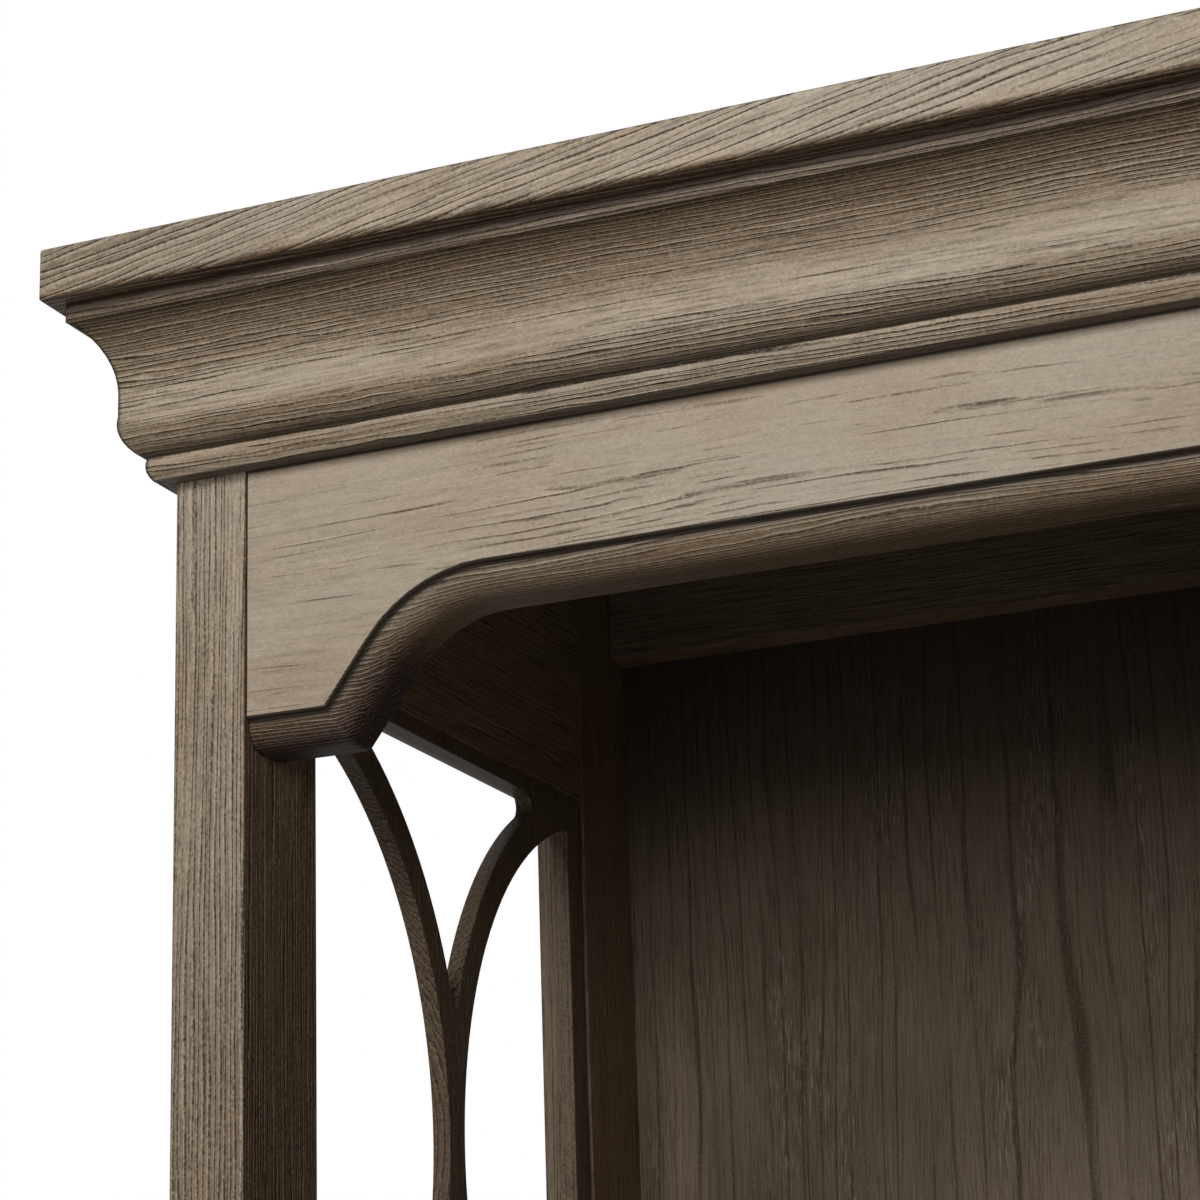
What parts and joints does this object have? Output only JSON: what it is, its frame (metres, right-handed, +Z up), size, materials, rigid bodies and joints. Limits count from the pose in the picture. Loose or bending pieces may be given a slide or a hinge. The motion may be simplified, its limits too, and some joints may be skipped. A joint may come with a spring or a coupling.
{
  "type": "credenza with hutch",
  "caption": "Credenza with kneehole, drawers, a door and an open hutch with arched fretwork ends and a moulded cornice.",
  "frame": {"origin": "on the floor, under the centre of the bounding box", "axes": "+Z up, -Y towards the person at the desk, +X to their right"},
  "size_m": [1.699, 0.6178, 1.854],
  "materials": {
    "grey_wood": "brushed, grey-taupe with a dark glaze",
    "glazed_wood": "brushed, dark brown glaze",
    "drawer_wood": "clear lacquer",
    "dark_metal": "antique dark bronze",
    "steel": "zinc plated",
    "glide_plastic": "matte"
  },
  "bodies": {
    "case_and_hutch": {"arched_apron": "grey_wood", "base_end_panels": "grey_wood", "base_end_rails": "grey_wood", "base_top": "grey_wood", "cabinet_hinge_leaves": "dark_metal", "centre_shelf": "grey_wood", "cornice_cap": "grey_wood", "crown_front": "grey_wood", "crown_returns": "grey_wood", "drawer_runners": "drawer_wood", "front_rails": "grey_wood", "glides": "glide_plastic", "hutch_back_panel": "glazed_wood", "hutch_back_rails": "glazed_wood", "hutch_low_panels": "grey_wood", "hutch_partitions": "grey_wood", "joining_plates": "steel", "joining_screws": "steel", "kneehole_sides": "grey_wood", "left_hutch_end_rails": "grey_wood", "left_hutch_front_post": "grey_wood", "left_hutch_rear_post": "grey_wood", "left_lower_fret": "grey_wood", "left_pedestal_posts": "grey_wood", "left_plinth": "grey_wood", "left_shelves": "grey_wood", "left_upper_fret": "grey_wood", "loose_shelf": "grey_wood", "modesty_panel": "glazed_wood", "pedestal_backs": "glazed_wood", "pedestal_bottoms": "grey_wood", "right_hutch_end_rails": "grey_wood", "right_hutch_front_post": "grey_wood", "right_hutch_rear_post": "grey_wood", "right_lower_fret": "grey_wood", "right_pedestal_posts": "grey_wood", "right_plinth": "grey_wood", "right_shelves": "grey_wood", "right_upper_fret": "grey_wood", "shelf_pins": "steel", "stop_blocks": "drawer_wood"},
    "left_upper_drawer": {"left_upper_drawer_front": "grey_wood", "left_upper_drawer_box": "drawer_wood", "left_upper_drawer_knobs": "dark_metal"},
    "left_middle_drawer": {"left_middle_drawer_front": "grey_wood", "left_middle_drawer_box": "drawer_wood", "left_middle_drawer_knobs": "dark_metal"},
    "file_drawer": {"file_drawer_front": "grey_wood", "file_drawer_box": "drawer_wood", "file_drawer_knobs": "dark_metal"},
    "right_upper_drawer": {"right_upper_drawer_front": "grey_wood", "right_upper_drawer_box": "drawer_wood", "right_upper_drawer_knobs": "dark_metal"},
    "pencil_drawer": {"pencil_drawer_front": "grey_wood", "pencil_drawer_box": "drawer_wood", "pencil_drawer_knobs": "dark_metal"},
    "door": {"door_frame": "grey_wood", "door_panel": "grey_wood", "door_knob": "dark_metal", "door_hinge_leaves": "dark_metal"}
  },
  "joints": [
    {"name": "left_upper_drawer_slide", "type": "slide", "parent": "case_and_hutch", "child": "left_upper_drawer", "axis": [0, -1, 0], "range_m": [0, 0.33]},
    {"name": "left_middle_drawer_slide", "type": "slide", "parent": "case_and_hutch", "child": "left_middle_drawer", "axis": [0, -1, 0], "range_m": [0, 0.33]},
    {"name": "file_drawer_slide", "type": "slide", "parent": "case_and_hutch", "child": "file_drawer", "axis": [0, -1, 0], "range_m": [0, 0.33]},
    {"name": "right_upper_drawer_slide", "type": "slide", "parent": "case_and_hutch", "child": "right_upper_drawer", "axis": [0, -1, 0], "range_m": [0, 0.33]},
    {"name": "pencil_drawer_slide", "type": "slide", "parent": "case_and_hutch", "child": "pencil_drawer", "axis": [0, -1, 0], "range_m": [0, 0.28]},
    {"name": "door_hinge", "type": "hinge", "parent": "case_and_hutch", "child": "door", "pos_m": [0.7867, -0.2869, 0.11], "axis": [0, 0, 1], "range_deg": [0, 110]}
  ]
}
